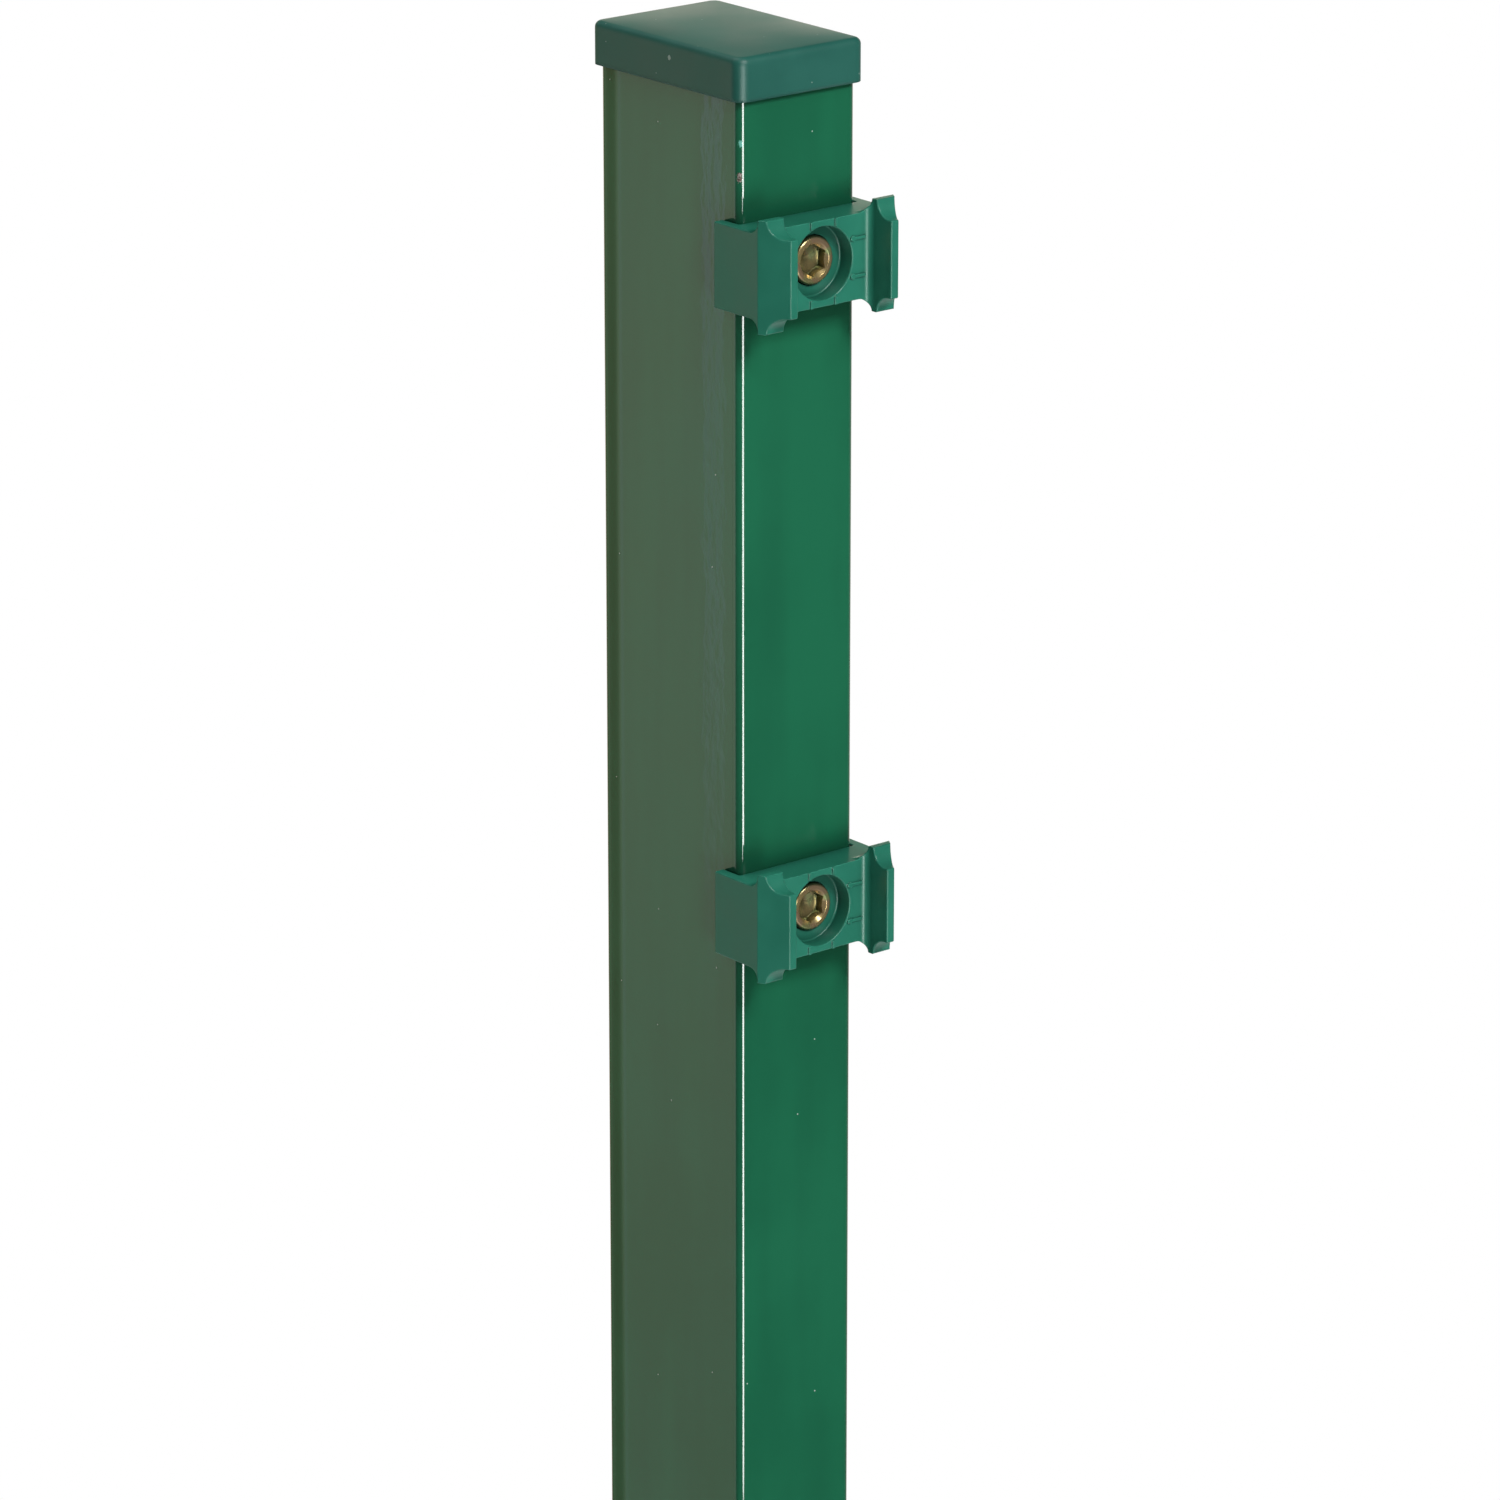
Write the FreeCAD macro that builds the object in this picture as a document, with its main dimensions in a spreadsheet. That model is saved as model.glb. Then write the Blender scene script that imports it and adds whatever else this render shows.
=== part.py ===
import FreeCAD, Part
import os
import sys
import Sketcher
from FreeCAD import Placement, Rotation, Vector

# Fence post for welded mesh panels: a powder coated rectangular steel tube with a pressed-on
# plastic end cap, and a row of plastic clips screwed to its narrow face. Millimetres.
# X runs across the narrow face, -Y is the side that the panel hangs on, and Z is up.
# The origin is the centre of the tube's bottom end.

SIZES = [
    ("post_length", 1100, "tube, from cut end to cut end"),
    ("tube_width", 40, "narrow side, which carries the clips"),
    ("tube_depth", 60, "wide side"),
    ("tube_wall", 2, "sheet of the tube"),
    ("tube_corner", 2.3, "outer corner radius"),
    ("tube_bend", 0.4, "inner corner radius"),
    ("seam_width", 3, "weld bead inside the back wall"),
    ("seam_height", 0.5, "how far the weld bead stands proud"),
    ("clip_count", 4, "clips on the post"),
    ("clip_pitch", 182, "one clip of a pair to the other"),
    ("clip_gap", 182, "further step from the upper pair of clips to the lower pair"),
    ("clip_from_top", 55, "middle of the top clip below the tube's end"),
    ("cap_wall", 1.6, "skirt and plug"),
    ("cap_play", 0.15, "between the skirt and the tube"),
    ("cap_skirt", 10.2, "how far the skirt covers the tube"),
    ("cap_plate", 1.7, "top of the cap above the tube's end"),
    ("cap_corner", 3.3, "upright corner radius of the cap"),
    ("cap_round", 1.8, "rounding round the top of the cap"),
    ("plug_depth", 15, "plug below the tube's end"),
    ("plug_gap", 0.9, "plug wall to the inside of the tube"),
    ("plug_grip", 0.8, "how far the grip ribs stand proud of the plug"),
    ("plug_rib", 1.2, "width of a grip rib"),
    ("clip_play", 0.2, "side lips to the tube"),
    ("clip_lip", 3.1, "thickness of the side lips"),
    ("clip_wrap", 7, "how far the lips reach back beside the tube"),
    ("clip_plate", 10.5, "front of the clip's body from the tube"),
    ("clip_height", 23.6, "body of the clip"),
    ("wing_gap", 32, "clear width between the wings"),
    ("wing_reach", 19.5, "front of the wings from the tube"),
    ("wing_tip", 2.5, "width of a wing at its front"),
    ("wing_shoulder", 1, "where the outer slope starts, ahead of the plate"),
    ("wing_root", 2, "hollow radius at the foot of a wing"),
    ("wing_height", 30.9, "wings at their horns"),
    ("horn_crest", 2.1, "level top of a horn"),
    ("notch_lip", 1.2, "straight front edge below the round cut for the panel's wire"),
    ("recess_width", 20.1, "round recess in the plate"),
    ("recess_depth", 5, "floor of the recess below the plate"),
    ("recess_round", 0.5, "radius at the recess floor"),
    ("recess_mouth", 0.35, "rounding at the recess mouth"),
    ("clip_round", 0.4, "moulded edges"),
    ("core_wall", 2.5, "wall round the hollows in the back of the clip"),
    ("boss_width", 25, "solid middle of the clip"),
    ("rib_height", 0.45, "fine ribs on the plate"),
    ("rib_width", 0.8, "fine ribs on the plate"),
    ("rib_spread", 5.2, "level ribs above and below the middle"),
    ("rib_offset", 4.2, "upright ribs beside the middle"),
    ("rib_end", 0.75, "radius of the bulb where a level rib meets the recess"),
    ("head_width", 13.4, "bolt head"),
    ("head_height", 4.4, "bolt head"),
    ("head_round", 1, "rounding round the front of the bolt head"),
    ("tip_chamfer", 0.5, "end of the bolt"),
    ("head_play", 0.25, "round the bolt head in its seat"),
    ("seat_wall", 1.6, "plastic that the bolt clamps"),
    ("socket_flats", 8, "hexagon socket, flat to flat"),
    ("socket_depth", 3.4, "flat sided part of the socket"),
    ("socket_mouth", 0.35, "countersink of the socket beyond its corners"),
    ("socket_point", 1.2, "drilled cone below the socket"),
    ("socket_turn", 27, "degrees that the hexagon is turned"),
    ("thread_width", 7.8, "bolt shank"),
    ("thread_length", 20, "bolt below its head"),
    ("thread_play", 0.1, "shank to the nut, all round"),
    ("shank_play", 0.6, "shank to the clip, all round"),
    ("nut_flange", 13.5, "rivet nut, on the tube's face"),
    ("nut_flange_thick", 0.8, "rivet nut"),
    ("nut_barrel", 11, "rivet nut, through the wall"),
    ("nut_bulge", 14.5, "rivet nut, upset behind the wall"),
    ("nut_bulge_thick", 3.2, "rivet nut, upset behind the wall"),
    ("nut_length", 16, "rivet nut below its flange"),
    ("nut_play", 0.05, "round the barrel and under the clip"),
]

NEAR = 0.05
SMOOTH_ANGLE = 0.05

doc = FreeCAD.newDocument("mesh_panel_post")
dim = doc.addObject("Spreadsheet::Sheet", "dim")
for row, (alias, number, note) in enumerate(SIZES, start=1):
    dim.set("A%d" % row, alias)
    dim.set("B%d" % row, str(number))
    dim.set("C%d" % row, note)
    dim.setAlias("B%d" % row, alias)
doc.recompute()


def value(formula):
    """The number that a formula of named sizes gives."""
    return float(dim.evalExpression(formula))


def minus(formula):
    """The same formula with its sign turned."""
    return "-(%s)" % formula


def side(sign, formula):
    """A formula for the right side (sign 1) or the left side (sign -1)."""
    return formula if sign > 0 else minus(formula)


def body(label):
    """A new body with its own name."""
    piece = doc.addObject("PartDesign::Body", label)
    piece.Label = label
    return piece


def sketch_on(piece, plane, name, lift=None):
    """A sketch on one of the body's origin planes, lifted along the plane's normal."""
    drawing = piece.newObject("Sketcher::SketchObject", piece.Label + "_" + name)
    origin_plane = [item for item in piece.Origin.OriginFeatures if item.Role == plane][0]
    drawing.AttachmentSupport = [(origin_plane, "")]
    drawing.MapMode = "FlatFace"
    if lift is not None:
        drawing.setExpression("AttachmentOffset.Base.z", lift)
    return drawing


def pin(drawing, edge, end, across, along):
    """Hold one end of an edge at a place given by two formulas."""
    for kind, formula in (("DistanceX", across), ("DistanceY", along)):
        number = drawing.addConstraint(Sketcher.Constraint(kind, edge, end, value(formula)))
        drawing.setExpression("Constraints[%d]" % number, formula)


def arc_between(start, end, radius, turn):
    """The arc from start to end, turning left (1) or right (-1)."""
    chord = end - start
    rise = max(radius * radius - (chord.Length / 2) ** 2, 0.0) ** 0.5
    normal = Vector(-chord.y, chord.x, 0).normalize() * turn
    centre = (start + end) * 0.5 + normal * rise
    middle = centre - normal * radius
    return Part.Arc(start, middle, end)


def outline(drawing, corners):
    """Close an outline through corners: (across, along), or with (radius, turn) for an arc there."""
    places = [Vector(value(corner[0]), value(corner[1]), 0) for corner in corners]
    first = drawing.GeometryCount
    for index, corner in enumerate(corners):
        following = (index + 1) % len(corners)
        start = places[index]
        end = places[following]
        if len(corner) == 2:
            drawing.addGeometry(Part.LineSegment(start, end), False)
        else:
            radius, turn = corner[2:]
            drawing.addGeometry(arc_between(start, end, value(radius), turn), False)
    for index, corner in enumerate(corners):
        following = (index + 1) % len(corners)
        turns_right = len(corner) == 4 and corner[3] < 0
        leaves = 2 if turns_right else 1
        reached = corners[following]
        next_leaves = 2 if len(reached) == 4 and reached[3] < 0 else 1
        drawing.addConstraint(Sketcher.Constraint(
            "Coincident", first + index, 3 - leaves, first + following, next_leaves))
        pin(drawing, first + index, leaves, corner[0], corner[1])
        if len(corner) == 4:
            number = drawing.addConstraint(
                Sketcher.Constraint("Radius", first + index, value(corner[2])))
            drawing.setExpression("Constraints[%d]" % number, corner[2])


def circle(drawing, across, along, radius):
    """A full circle at a place given by formulas."""
    centre = Vector(value(across), value(along), 0)
    edge = drawing.addGeometry(Part.Circle(centre, Vector(0, 0, 1), value(radius)), False)
    pin(drawing, edge, 3, across, along)
    number = drawing.addConstraint(Sketcher.Constraint("Radius", edge, value(radius)))
    drawing.setExpression("Constraints[%d]" % number, radius)


def box_outline(drawing, left, right, low, high):
    """A plain rectangle between four formulas."""
    outline(drawing, [(left, low), (right, low), (right, high), (left, high)])


def rounded_rectangle(drawing, half_width, half_depth, radius):
    """A rectangle about the origin with four equal round corners."""
    inner_width = "%s - %s" % (half_width, radius)
    inner_depth = "%s - %s" % (half_depth, radius)
    outline(drawing, [
        (minus(inner_width), minus(half_depth)),
        (inner_width, minus(half_depth), radius, 1),
        (half_width, minus(inner_depth)),
        (half_width, inner_depth, radius, 1),
        (inner_width, half_depth),
        (minus(inner_width), half_depth, radius, 1),
        (minus(half_width), inner_depth),
        (minus(half_width), minus(inner_depth), radius, 1),
    ])


def feature(piece, kind, name, drawing, length, both_ways=False, reverse=False):
    """A pad or pocket of a sketch, with its length bound to a formula."""
    solid = piece.newObject("PartDesign::" + kind, piece.Label + "_" + name)
    solid.Profile = drawing
    solid.SideType = "Symmetric" if both_ways else "One side"
    solid.Reversed = reverse
    solid.setExpression("Length", length)
    drawing.Visibility = False
    return solid


def turned(piece, kind, name, drawing):
    """A full revolution or groove about the sketch's level axis."""
    solid = piece.newObject("PartDesign::" + kind, piece.Label + "_" + name)
    solid.Profile = drawing
    solid.ReferenceAxis = (drawing, ["H_Axis"])
    solid.Angle = 360
    drawing.Visibility = False
    return solid


def place(piece, height):
    """Set a piece of a clip station on the tube's face, at a height."""
    piece.setExpression("Placement.Base.y", "-dim.tube_depth / 2")
    piece.setExpression("Placement.Base.z", height)


def is_sharp(shape, edge):
    """True where the two faces at an edge meet at an angle."""
    middle = edge.valueAt((edge.FirstParameter + edge.LastParameter) / 2)
    normals = []
    for face in shape.ancestorsOfType(edge, Part.Face):
        across, along = face.Surface.parameter(middle)
        normals.append(face.normalAt(across, along))
    return len(normals) == 2 and normals[0].getAngle(normals[1]) > SMOOTH_ANGLE


def rounded_edges(piece, name, wanted, radius):
    """A fillet on each sharp edge of the form so far whose bounding box the test picks."""
    doc.recompute()
    base = piece.Tip
    names = ["Edge%d" % number for number, edge in enumerate(base.Shape.Edges, start=1)
             if wanted(edge.BoundBox) and is_sharp(base.Shape, edge)]
    rounding = piece.newObject("PartDesign::Fillet", piece.Label + "_" + name)
    rounding.Base = (base, names)
    rounding.setExpression("Radius", radius)
    return rounding


# Heights of the clips, from the top one down. They stand in pairs, one near each end of a panel.
def clip_level(index):
    steps = "%d * dim.clip_pitch + %d * dim.clip_gap" % (index, index // 2)
    return "dim.post_length - dim.clip_from_top - (%s)" % steps


CLIPS = int(value("dim.clip_count"))


# Tube: a rolled and seam welded rectangular section, cut square at both ends, with a round
# hole for each rivet nut in its narrow front wall.
def make_tube():
    tube = body("post_tube")
    section = sketch_on(tube, "XY_Plane", "section")
    rounded_rectangle(section, "dim.tube_width / 2", "dim.tube_depth / 2", "dim.tube_corner")
    rounded_rectangle(section, "(dim.tube_width / 2 - dim.tube_wall)",
                      "(dim.tube_depth / 2 - dim.tube_wall)", "dim.tube_bend")
    feature(tube, "Pad", "length", section, "dim.post_length")
    seam = sketch_on(tube, "XY_Plane", "seam")
    half = "dim.seam_width / 2"
    inside = "dim.tube_depth / 2 - dim.tube_wall"
    bead = "(%s) - dim.seam_height" % inside
    radius = "(dim.seam_width ^ 2 / 8 + dim.seam_height ^ 2 / 2) / dim.seam_height"
    outline(seam, [
        (minus(half), inside, radius, 1),
        (half, inside),
        (half, inside + " + dim.tube_wall / 2"),
        (minus(half), inside + " + dim.tube_wall / 2"),
    ])
    feature(tube, "Pad", "bead", seam, "dim.post_length")
    holes = sketch_on(tube, "XZ_Plane", "holes")
    for index in range(CLIPS):
        circle(holes, "0", clip_level(index), "dim.nut_barrel / 2 + dim.nut_play")
    feature(tube, "Pocket", "nut_holes", holes, "dim.tube_depth / 2 + 1", reverse=True)
    return tube


# Cap: a moulded lid that sits on the cut end, with a skirt outside the tube and a ribbed
# plug inside it. Its frame's origin is the centre of the tube's top end.
def make_cap():
    cap = body("post_cap")
    cap.setExpression("Placement.Base.z", "dim.post_length")
    reach = "dim.cap_wall + dim.cap_play"
    lid = sketch_on(cap, "XY_Plane", "lid", minus("dim.cap_skirt"))
    rounded_rectangle(lid, "(dim.tube_width / 2 + %s)" % reach,
                      "(dim.tube_depth / 2 + %s)" % reach, "dim.cap_corner")
    feature(cap, "Pad", "block", lid, "dim.cap_skirt + dim.cap_plate")
    top = value("dim.cap_plate")
    rounded_edges(cap, "top_round", lambda box: box.ZMin > top - NEAR, "dim.cap_round")
    cavity = sketch_on(cap, "XY_Plane", "cavity", minus("dim.cap_skirt"))
    rounded_rectangle(cavity, "(dim.tube_width / 2 + dim.cap_play)",
                      "(dim.tube_depth / 2 + dim.cap_play)", "(dim.tube_corner + dim.cap_play)")
    feature(cap, "Pocket", "skirt", cavity, "dim.cap_skirt", reverse=True)
    plug = sketch_on(cap, "XY_Plane", "plug", minus("dim.plug_depth"))
    inset = "dim.tube_wall - dim.plug_gap"
    outer_width = "(dim.tube_width / 2 - %s)" % inset
    outer_depth = "(dim.tube_depth / 2 - %s)" % inset
    rounded_rectangle(plug, outer_width, outer_depth, "dim.cap_wall")
    rounded_rectangle(plug, outer_width + " - dim.cap_wall", outer_depth + " - dim.cap_wall",
                      "dim.tube_bend")
    feature(cap, "Pad", "plug_wall", plug, "dim.plug_depth")
    ribs = sketch_on(cap, "XY_Plane", "ribs", minus("dim.plug_depth"))
    half = "dim.plug_rib / 2"
    for sign in (1, -1):
        for share in (1, -1):
            across = "(%s)" % side(share, "dim.tube_width / 5")
            along = "(%s)" % side(share, "dim.tube_depth / 4")
            box_outline(ribs, across + " - " + half, across + " + " + half,
                        side(sign, outer_depth + " - dim.cap_wall / 2"),
                        side(sign, outer_depth + " + dim.plug_grip"))
            box_outline(ribs, side(sign, outer_width + " - dim.cap_wall / 2"),
                        side(sign, outer_width + " + dim.plug_grip"),
                        along + " - " + half, along + " + " + half)
    feature(cap, "Pad", "grip_ribs", ribs, "dim.plug_depth")
    return cap


# Clip: one moulding that straddles the tube's corners, holds the panel's wires between two
# wings and takes a bolt head in a round recess. Its frame's origin lies on the tube's face.
def make_clip(number, height):
    clip = body("clip_%d" % number)
    place(clip, height)
    channel = "dim.tube_width / 2 + dim.clip_play"
    flank = channel + " + dim.clip_lip"
    shoulder = "dim.clip_plate + dim.wing_shoulder"
    inner = "dim.wing_gap / 2"
    plan = sketch_on(clip, "XY_Plane", "plan")
    right = [
        (channel, "0"),
        (channel, "dim.clip_wrap"),
        (flank, "dim.clip_wrap"),
        (flank, minus(shoulder)),
        (inner + " + dim.wing_tip", "-dim.wing_reach"),
        (inner, "-dim.wing_reach"),
        (inner, minus("dim.clip_plate + dim.wing_root"), "dim.wing_root", 1),
        (inner + " - dim.wing_root", "-dim.clip_plate"),
    ]
    left = [
        (minus(inner + " - dim.wing_root"), "-dim.clip_plate", "dim.wing_root", 1),
        (minus(inner), minus("dim.clip_plate + dim.wing_root")),
    ] + [(minus(across), along) for across, along in
         [(corner[0], corner[1]) for corner in reversed(right[:6])]]
    outline(plan, right + left)
    feature(clip, "Pad", "block", plan, "dim.wing_height", both_ways=True)

    edge = "dim.clip_height / 2"
    above = "dim.wing_height"
    top = "dim.wing_height / 2"
    blend = "(dim.wing_height - dim.clip_height) / 2"
    front = sketch_on(clip, "XZ_Plane", "front")
    for sign in (1, -1):
        outline(front, [
            (minus(inner + " - " + blend), side(sign, edge)),
            (inner + " - " + blend, side(sign, edge), blend, sign),
            (inner, side(sign, top)),
            (inner, side(sign, above)),
            (minus(inner), side(sign, above)),
            (minus(inner), side(sign, top), blend, sign),
        ])
    feature(clip, "Pocket", "between_horns", front, "4 * dim.wing_reach", both_ways=True)

    horn_back = shoulder
    horn_front = shoulder + " + dim.horn_crest"
    lip_back = "dim.wing_reach - dim.notch_lip"
    notch = "(%s - (%s))" % (lip_back, horn_front)
    profile = sketch_on(clip, "YZ_Plane", "profile")
    for sign in (1, -1):
        outline(profile, [
            ("2 * dim.clip_wrap", side(sign, edge)),
            ("2 * dim.clip_wrap", side(sign, above)),
            (minus(horn_back), side(sign, above)),
            (minus(horn_back), side(sign, top), blend, sign),
            (minus(horn_back + " - " + blend), side(sign, edge)),
        ])
        outline(profile, [
            (minus(horn_front), side(sign, above)),
            ("-2 * dim.wing_reach", side(sign, above)),
            ("-2 * dim.wing_reach", side(sign, top + " - " + notch)),
            (minus(lip_back), side(sign, top + " - " + notch), notch, sign),
            (minus(horn_front), side(sign, top)),
        ])
    feature(clip, "Pocket", "horns", profile, "4 * (%s)" % flank, both_ways=True)
    flank_place = value(flank)
    front_place = -value(horn_front)

    def soft_edge(box):
        """Edges of the wings' fronts, of the outer flanks and of the lips and back."""
        on_flank = min(abs(box.XMin), abs(box.XMax)) > flank_place - NEAR
        return on_flank or box.YMax < front_place + NEAR or box.YMin > -NEAR

    rounded_edges(clip, "soft_edges", soft_edge, "dim.clip_round")

    seat = "dim.nut_flange_thick + dim.nut_play + dim.seat_wall"
    floor = "dim.clip_plate - dim.recess_depth"
    head = "dim.head_width / 2 + dim.head_play"
    hole = "dim.thread_width / 2 + dim.shank_play"
    relief = "dim.nut_flange / 2 + dim.head_play"
    rim = "(dim.recess_width / 2 + dim.recess_mouth)"
    bore = sketch_on(clip, "YZ_Plane", "bore")
    outline(bore, [
        ("dim.clip_wrap", "0"),
        ("dim.clip_wrap", relief),
        (minus("dim.nut_flange_thick + dim.nut_play"), relief),
        (minus("dim.nut_flange_thick + dim.nut_play"), hole),
        (minus(seat), hole),
        (minus(seat), head),
        (minus(floor), head),
        (minus(floor), "dim.recess_width / 2 - dim.recess_round", "dim.recess_round", 1),
        (minus(floor + " + dim.recess_round"), "dim.recess_width / 2"),
        ("dim.recess_mouth - dim.clip_plate", "dim.recess_width / 2", "dim.recess_mouth", -1),
        ("-dim.clip_plate", rim),
        ("-dim.wing_reach", rim),
        ("-dim.wing_reach", "0"),
    ])
    turned(clip, "Groove", "bolt_seat", bore)

    hollows = sketch_on(clip, "XZ_Plane", "hollows", "-dim.clip_wrap")
    for sign in (1, -1):
        box_outline(hollows, side(sign, "dim.boss_width / 2"),
                    side(sign, "dim.tube_width / 2 - dim.clip_round"),
                    minus(edge + " - dim.core_wall"), edge + " - dim.core_wall")
    feature(clip, "Pocket", "back_hollows", hollows,
            "dim.clip_wrap + dim.clip_plate - dim.core_wall", reverse=True)

    ribs = sketch_on(clip, "XZ_Plane", "ribs", "dim.clip_plate - dim.rib_height")
    half = "dim.rib_width / 2"
    for across_sign in (1, -1):
        for up_sign in (1, -1):
            middle = "(%s)" % side(across_sign, "dim.rib_offset")
            box_outline(ribs, middle + " - " + half, middle + " + " + half,
                        side(up_sign, "sqrt((%s) ^ 2 - (dim.rib_offset - %s) ^ 2)" % (rim, half)),
                        side(up_sign, edge))
            level = "(%s)" % side(up_sign, "dim.rib_spread")
            box_outline(ribs,
                        side(across_sign, "sqrt((%s) ^ 2 - (dim.rib_spread - %s) ^ 2)" % (rim, half)),
                        side(across_sign, inner + " - dim.wing_root + " + half),
                        level + " - " + half, level + " + " + half)
    feature(clip, "Pad", "fine_ribs", ribs, "2 * dim.rib_height")
    ends = sketch_on(clip, "XZ_Plane", "rib_ends", "dim.clip_plate - dim.rib_height")
    beside = "sqrt(%s ^ 2 - (dim.rib_spread - dim.rib_end) ^ 2) + dim.rib_end" % rim
    for across_sign in (1, -1):
        for up_sign in (1, -1):
            circle(ends, side(across_sign, beside), side(up_sign, "dim.rib_spread"), "dim.rib_end")
    feature(clip, "Pad", "rib_bulbs", ends, "2 * dim.rib_height")
    return clip


# Bolt: turned head and shank with a hexagon socket, its shank running towards +Y.
def make_bolt(number, height):
    bolt = body("clip_bolt_%d" % number)
    place(bolt, height)
    seat = "dim.nut_flange_thick + dim.nut_play + dim.seat_wall"
    face = seat + " + dim.head_height"
    tip = "dim.thread_length - (%s)" % seat
    turning = sketch_on(bolt, "YZ_Plane", "turning")
    outline(turning, [
        (minus(face), "0"),
        (tip, "0"),
        (tip, "dim.thread_width / 2 - dim.tip_chamfer"),
        (tip + " - dim.tip_chamfer", "dim.thread_width / 2"),
        (minus(seat), "dim.thread_width / 2"),
        (minus(seat), "dim.head_width / 2"),
        (minus(face + " - dim.head_round"), "dim.head_width / 2", "dim.head_round", 1),
        (minus(face), "dim.head_width / 2 - dim.head_round"),
    ])
    turned(bolt, "Revolution", "turned", turning)
    hexagon = sketch_on(bolt, "XZ_Plane", "hexagon", face)
    corner = "dim.socket_flats / 2 / cos(30)"
    outline(hexagon, [
        ("%s * cos(dim.socket_turn + %d)" % (corner, 60 * number_of_corner),
         "%s * sin(dim.socket_turn + %d)" % (corner, 60 * number_of_corner))
        for number_of_corner in range(6)
    ])
    feature(bolt, "Pocket", "socket", hexagon, "dim.socket_depth")
    cone = sketch_on(bolt, "YZ_Plane", "cone")
    bottom = "%s - dim.socket_depth" % face
    outline(cone, [
        (minus(bottom), "0"),
        (minus(bottom), "dim.socket_flats / 2"),
        (minus(bottom + " - dim.socket_point"), "0"),
    ])
    turned(bolt, "Groove", "socket_point", cone)
    mouth = sketch_on(bolt, "YZ_Plane", "mouth")
    outline(mouth, [
        (minus(face), "0"),
        (minus(face), corner + " + dim.socket_mouth"),
        (minus(face + " - dim.socket_mouth - (%s - dim.socket_flats / 2)" % corner),
         "dim.socket_flats / 2"),
        (minus(face + " - dim.socket_mouth - (%s - dim.socket_flats / 2)" % corner), "0"),
    ])
    turned(bolt, "Groove", "socket_mouth", mouth)
    return bolt


# Rivet nut: a flanged barrel through the tube's wall, upset behind it, that takes the bolt.
def make_nut(number, height):
    nut = body("rivet_nut_%d" % number)
    place(nut, height)
    inside = "dim.tube_wall + dim.nut_play"
    bore = "dim.thread_width / 2 + dim.thread_play"
    bulge_end = inside + " + dim.nut_bulge_thick"
    swell = "(dim.nut_bulge - dim.nut_barrel) / 2"
    turning = sketch_on(nut, "YZ_Plane", "turning")
    outline(turning, [
        ("-dim.nut_flange_thick", bore),
        ("dim.nut_length", bore),
        ("dim.nut_length", "dim.nut_barrel / 2"),
        (bulge_end, "dim.nut_barrel / 2"),
        (bulge_end + " - (%s)" % swell, "dim.nut_bulge / 2"),
        (inside, "dim.nut_bulge / 2"),
        (inside, "dim.nut_barrel / 2"),
        ("0", "dim.nut_barrel / 2"),
        ("0", "dim.nut_flange / 2"),
        ("-dim.nut_flange_thick", "dim.nut_flange / 2"),
    ])
    turned(nut, "Revolution", "turned", turning)
    return nut


make_tube()
make_cap()
for index in range(CLIPS):
    make_clip(index + 1, clip_level(index))
    make_bolt(index + 1, clip_level(index))
    make_nut(index + 1, clip_level(index))
doc.recompute()

broken = [item.Label for item in doc.Objects if {"Invalid", "Error"} & set(item.State)]
parts = [item for item in doc.Objects if item.TypeId == "PartDesign::Body"]
broken += [item.Label for item in parts if item.Shape.isNull() or not item.Shape.isValid()]
if broken:
    sys.exit("These did not build: " + ", ".join(sorted(set(broken))))

os.makedirs("parts", exist_ok=True)
for item in parts:
    item.Shape.exportStep(os.path.join("parts", item.Label + ".step"))
    print("%-14s %d solid(s) %10.1f mm3" % (item.Label, len(item.Shape.Solids), item.Shape.Volume))
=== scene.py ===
# Finishes and studio for a mesh panel fence post: powder coated tube, moulded cap and clips,
# yellow zinc bolts. Lengths are in metres, X across the clips' face, -Y towards the panel.
import math
import bmesh
import bpy
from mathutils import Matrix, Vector


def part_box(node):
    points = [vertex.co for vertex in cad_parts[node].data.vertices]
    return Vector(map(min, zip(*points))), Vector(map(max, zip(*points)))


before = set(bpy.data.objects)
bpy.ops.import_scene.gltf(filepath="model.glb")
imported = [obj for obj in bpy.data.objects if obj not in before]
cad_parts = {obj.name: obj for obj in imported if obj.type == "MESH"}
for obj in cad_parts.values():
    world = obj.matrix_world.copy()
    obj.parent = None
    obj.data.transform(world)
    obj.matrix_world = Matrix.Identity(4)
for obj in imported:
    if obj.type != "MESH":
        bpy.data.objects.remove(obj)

bl_info = {
    "name": "Mesh panel post finishes",
    "version": (1, 0, 0),
    "blender": (4, 5, 0),
    "location": "View3D > Sidebar > Post",
    "description": "Gives a fence post, its cap, clips and bolts their finish and a plain studio",
    "category": "Object",
}

CLIPS = [name for name in sorted(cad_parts) if name.startswith("clip_") and "bolt" not in name]
BOLTS = [name for name in sorted(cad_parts) if name.startswith("clip_bolt_")]
NUTS = [name for name in sorted(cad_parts) if name.startswith("rivet_nut_")]
TUBE_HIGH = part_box("post_tube")[1]
CAP_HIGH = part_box("post_cap")[1]
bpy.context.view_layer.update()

# Bolts: the turning rings in radians of each metre, the thread's pitch, the reach of the socket
# and of the shank from their axis, the head's end from the bolt's middle, and the edges' rounding.
RING_RATE = 16000.0
THREAD_PITCH = 0.00125
SOCKET_REACH = 0.0048
SHANK_REACH = 0.0041
HEAD_END = -0.004
BOLT_EDGE = 0.0002

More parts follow.
